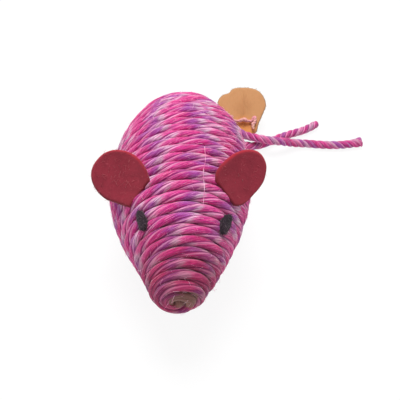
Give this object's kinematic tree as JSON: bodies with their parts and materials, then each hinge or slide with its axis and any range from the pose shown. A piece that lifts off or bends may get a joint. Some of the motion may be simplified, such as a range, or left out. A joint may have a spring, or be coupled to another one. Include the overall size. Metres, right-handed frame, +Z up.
{
  "type": "mouse cat toy",
  "caption": "Teardrop toy mouse of wound rope with felt ears and eyes, and a tail of two rope ends with a feather tied to it.",
  "frame": {"origin": "middle of the base of the body and ears, on the surface that the toy lies on", "axes": "-Y towards the nose, +Y towards the tail's exit, +Z up, +X towards the side where the tail lies"},
  "size_m": [0.1077, 0.1206, 0.051],
  "materials": {
    "rope": "space-dyed twisted cotton rope, pink, purple and white",
    "core": "plain moulded shell, hidden",
    "red_felt": "matte needled felt",
    "black_felt": "matte needled felt",
    "strand": "single loose ply of the rope",
    "feather": "soft barbs with a faint sheen"
  },
  "bodies": {
    "root": {"body_winding": "rope", "core_front": "core", "core_rear": "core", "rope_knot": "rope", "left_ear": "red_felt", "right_ear": "red_felt", "left_eye": "black_felt", "right_eye": "black_felt", "tail_long": "rope", "tail_short": "rope", "tail_tie": "strand", "feather": "feather", "strand_end": "strand"}
  },
  "joints": []
}
